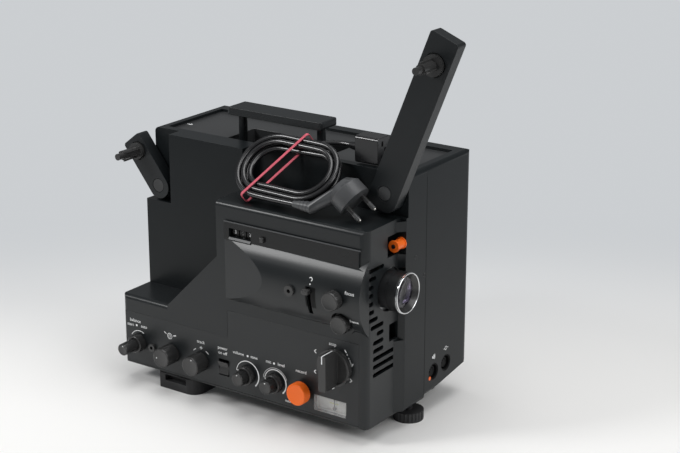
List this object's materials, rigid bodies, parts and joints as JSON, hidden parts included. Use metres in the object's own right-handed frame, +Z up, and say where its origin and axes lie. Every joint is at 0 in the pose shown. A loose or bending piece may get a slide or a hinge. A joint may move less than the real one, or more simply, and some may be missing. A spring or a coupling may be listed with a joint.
{
  "type": "movie projector",
  "caption": "Black sound film projector for narrow gauge film, with folding reel arms, telescopic handle, lens end with cooling slots, control panel and a coiled mains lead on its shelf.",
  "frame": {"origin": "centre of the bounding box without the mains lead, at the table under the feet", "axes": "+X to the lens end, +Y to the back, +Z up"},
  "size_m": [0.4068, 0.209, 0.4096],
  "materials": {
    "housing_plastic": "fine textured satin black",
    "fascia": "smooth satin black with white print",
    "arm_plastic": "satin black",
    "knob_black": "semi gloss black",
    "orange": "orange",
    "meter_face": "silver grey",
    "number_wheels": "black with pale numbers",
    "needle": "black",
    "steel": "plain",
    "light_metal": "plain",
    "sprocket_plastic": "ivory",
    "barrel": "satin black",
    "lens_trim": "polished",
    "lens_glass": "coated",
    "feet": "matte black",
    "belt": "matte",
    "core": "varnished",
    "board": "green",
    "speaker": "black",
    "lead": "black flexible sheath",
    "lead_mould": "moulded dark grey",
    "band": "pink red"
  },
  "bodies": {
    "projector": {"front_housing": "housing_plastic", "control_fascia": "fascia", "main_frame": "housing_plastic", "rear_cover": "housing_plastic", "top_panel": "housing_plastic", "mechanism_plate": "steel", "feet": "feet", "arm_pivots": "steel", "level_meter": "meter_face", "counter_axle": "steel", "front_sockets": "knob_black", "lens_holder": "light_metal", "din_sockets": "knob_black", "mains_inlet": "knob_black", "motor": "steel", "drive_belt": "belt", "film_gate": "steel", "lamp": "light_metal", "transformer": "core", "circuit_board": "board", "loudspeaker": "speaker", "cover_screws": "steel", "mains_lead": "lead", "lead_plug": "lead_mould", "lead_connector": "lead_mould", "lead_band": "band"},
    "screw_foot": {"screw_foot": "feet"},
    "supply_arm": {"supply_arm": "arm_plastic"},
    "supply_spindle": {"supply_spindle": "arm_plastic"},
    "take_up_arm": {"take_up_arm": "arm_plastic"},
    "take_up_spindle": {"take_up_spindle": "arm_plastic"},
    "lens": {"lens_barrel": "barrel", "lens_ring": "lens_trim", "lens_glass": "lens_glass"},
    "carry_handle": {"carry_handle": "arm_plastic"},
    "left_knob_outer": {"left_knob_outer": "knob_black"},
    "left_knob_inner": {"left_knob_inner": "knob_black"},
    "tone_knob": {"tone_knob": "knob_black"},
    "volume_knob": {"volume_knob": "knob_black"},
    "power_rocker": {"power_rocker": "knob_black"},
    "mix_knob_outer": {"mix_knob_outer": "knob_black"},
    "mix_knob_inner": {"mix_knob_inner": "knob_black"},
    "level_knob_outer": {"level_knob_outer": "knob_black"},
    "level_knob_inner": {"level_knob_inner": "knob_black"},
    "record_knob": {"record_knob": "orange"},
    "function_dial": {"function_dial": "knob_black"},
    "meter_needle": {"meter_needle": "needle"},
    "counter_units": {"counter_units": "number_wheels"},
    "counter_tens": {"counter_tens": "number_wheels"},
    "counter_hundreds": {"counter_hundreds": "number_wheels"},
    "counter_reset": {"counter_reset": "knob_black"},
    "still_lever": {"still_lever": "knob_black"},
    "focus_knob": {"focus_knob": "knob_black"},
    "frame_knob": {"frame_knob": "knob_black"},
    "film_roller": {"film_roller": "orange"},
    "motor_rotor": {"motor_rotor": "light_metal"},
    "flywheel": {"flywheel": "steel"},
    "shutter": {"shutter": "steel"},
    "film_sprocket": {"film_sprocket": "sprocket_plastic"}
  },
  "joints": [
    {"name": "supply_arm_fold", "type": "hinge", "parent": "projector", "child": "supply_arm", "pos_m": [0.12538, -0.0235, 0.246], "axis": [0, 1, 0], "range_deg": [-55, 0]},
    {"name": "supply_spindle_turn", "type": "hinge", "parent": "supply_arm", "child": "supply_spindle", "pos_m": [0.17857, -0.0365, 0.37766], "axis": [0, 1, 0], "continuous": true},
    {"name": "take_up_arm_fold", "type": "hinge", "parent": "projector", "child": "take_up_arm", "pos_m": [-0.15862, -0.0235, 0.205], "axis": [0, 1, 0], "range_deg": [0, 38]},
    {"name": "take_up_spindle_turn", "type": "hinge", "parent": "take_up_arm", "child": "take_up_spindle", "pos_m": [-0.18509, -0.0365, 0.23888], "axis": [0, 1, 0], "continuous": true},
    {"name": "handle_slide", "type": "slide", "parent": "projector", "child": "carry_handle", "axis": [0, 0, 1], "range_m": [-0.0314, 0]},
    {"name": "foot_height", "type": "slide", "parent": "projector", "child": "screw_foot", "axis": [0, 0, 1], "range_m": [-0.012, 0]},
    {"name": "left_ring_turn", "type": "hinge", "parent": "projector", "child": "left_knob_outer", "pos_m": [-0.15162, -0.0815, 0.045], "axis": [0, -1, 0], "range_deg": [-135, 135]},
    {"name": "left_cap_turn", "type": "hinge", "parent": "projector", "child": "left_knob_inner", "pos_m": [-0.15162, -0.0965, 0.045], "axis": [0, -1, 0], "range_deg": [-135, 135]},
    {"name": "tone_turn", "type": "hinge", "parent": "projector", "child": "tone_knob", "pos_m": [-0.10712, -0.0865, 0.043], "axis": [0, -1, 0], "range_deg": [-140, 140]},
    {"name": "volume_turn", "type": "hinge", "parent": "projector", "child": "volume_knob", "pos_m": [-0.06812, -0.0865, 0.043], "axis": [0, -1, 0], "range_deg": [-140, 140]},
    {"name": "power_rock", "type": "hinge", "parent": "projector", "child": "power_rocker", "pos_m": [-0.03812, -0.0695, 0.043], "axis": [1, 0, 0], "range_deg": [-8, 0]},
    {"name": "mix_ring_turn", "type": "hinge", "parent": "projector", "child": "mix_knob_outer", "pos_m": [-0.00762, -0.0805, 0.043], "axis": [0, -1, 0], "range_deg": [-135, 135]},
    {"name": "mix_cap_turn", "type": "hinge", "parent": "projector", "child": "mix_knob_inner", "pos_m": [-0.00762, -0.0895, 0.043], "axis": [0, -1, 0], "range_deg": [-135, 135]},
    {"name": "level_ring_turn", "type": "hinge", "parent": "projector", "child": "level_knob_outer", "pos_m": [0.02738, -0.0805, 0.043], "axis": [0, -1, 0], "range_deg": [-135, 135]},
    {"name": "level_cap_turn", "type": "hinge", "parent": "projector", "child": "level_knob_inner", "pos_m": [0.02738, -0.0895, 0.043], "axis": [0, -1, 0], "range_deg": [-135, 135]},
    {"name": "record_press", "type": "slide", "parent": "projector", "child": "record_knob", "axis": [0, 1, 0], "range_m": [0, 0.004], "stiffness_N_per_m": 300},
    {"name": "dial_turn", "type": "hinge", "parent": "projector", "child": "function_dial", "pos_m": [0.10138, -0.0865, 0.078], "axis": [0, -1, 0], "range_deg": [-120, 120]},
    {"name": "needle_swing", "type": "hinge", "parent": "projector", "child": "meter_needle", "pos_m": [0.09438, -0.0685, 0.0285], "axis": [0, 1, 0], "range_deg": [-40, 40], "stiffness_Nm_per_rad": 0.0001},
    {"name": "units_turn", "type": "hinge", "parent": "projector", "child": "counter_units", "pos_m": [-0.00327, -0.063, 0.1915], "axis": [1, 0, 0], "continuous": true},
    {"name": "tens_turn", "type": "hinge", "parent": "projector", "child": "counter_tens", "pos_m": [-0.01227, -0.063, 0.1915], "axis": [1, 0, 0], "continuous": true},
    {"name": "hundreds_turn", "type": "hinge", "parent": "projector", "child": "counter_hundreds", "pos_m": [-0.02127, -0.063, 0.1915], "axis": [1, 0, 0], "continuous": true},
    {"name": "reset_press", "type": "slide", "parent": "projector", "child": "counter_reset", "axis": [0, 1, 0], "range_m": [0, 0.002], "stiffness_N_per_m": 200},
    {"name": "still_lever_turn", "type": "hinge", "parent": "projector", "child": "still_lever", "pos_m": [0.07738, -0.0355, 0.153], "axis": [1, 0, 0], "range_deg": [0, 20]},
    {"name": "lens_focus", "type": "slide", "parent": "projector", "child": "lens", "axis": [1, 0, 0], "range_m": [-0.002, 0.002]},
    {"name": "focus_turn", "type": "hinge", "parent": "projector", "child": "focus_knob", "pos_m": [0.10838, -0.0915, 0.153], "axis": [0, -1, 0], "range_deg": [-152, 152]},
    {"name": "frame_turn", "type": "hinge", "parent": "projector", "child": "frame_knob", "pos_m": [0.11238, -0.0845, 0.127], "axis": [0, -1, 0], "range_deg": [-60, 60]},
    {"name": "roller_turn", "type": "hinge", "parent": "projector", "child": "film_roller", "pos_m": [0.13838, -0.0265, 0.196], "axis": [0, 1, 0], "continuous": true},
    {"name": "flywheel_turn", "type": "hinge", "parent": "projector", "child": "flywheel", "pos_m": [0.04138, 0.0035, 0.113], "axis": [0, 1, 0], "continuous": true},
    {"name": "motor_turn", "type": "hinge", "parent": "projector", "child": "motor_rotor", "pos_m": [-0.10362, 0.0235, 0.073], "axis": [0, 1, 0], "continuous": true},
    {"name": "shutter_turn", "type": "hinge", "parent": "projector", "child": "shutter", "pos_m": [0.09038, -0.0355, 0.13], "axis": [1, 0, 0], "continuous": true},
    {"name": "sprocket_turn", "type": "hinge", "parent": "projector", "child": "film_sprocket", "pos_m": [0.09438, -0.0365, 0.19], "axis": [0, 1, 0], "continuous": true}
  ],
  "couplings": [
    {"joint": "motor_turn", "follows": "flywheel_turn", "ratio": 2.8571},
    {"joint": "shutter_turn", "follows": "flywheel_turn", "ratio": 1},
    {"joint": "sprocket_turn", "follows": "flywheel_turn", "ratio": 0.5},
    {"joint": "tens_turn", "follows": "units_turn", "ratio": 0.1},
    {"joint": "hundreds_turn", "follows": "units_turn", "ratio": 0.01},
    {"joint": "focus_turn", "follows": "lens_focus", "rad_per_m": 1309}
  ]
}
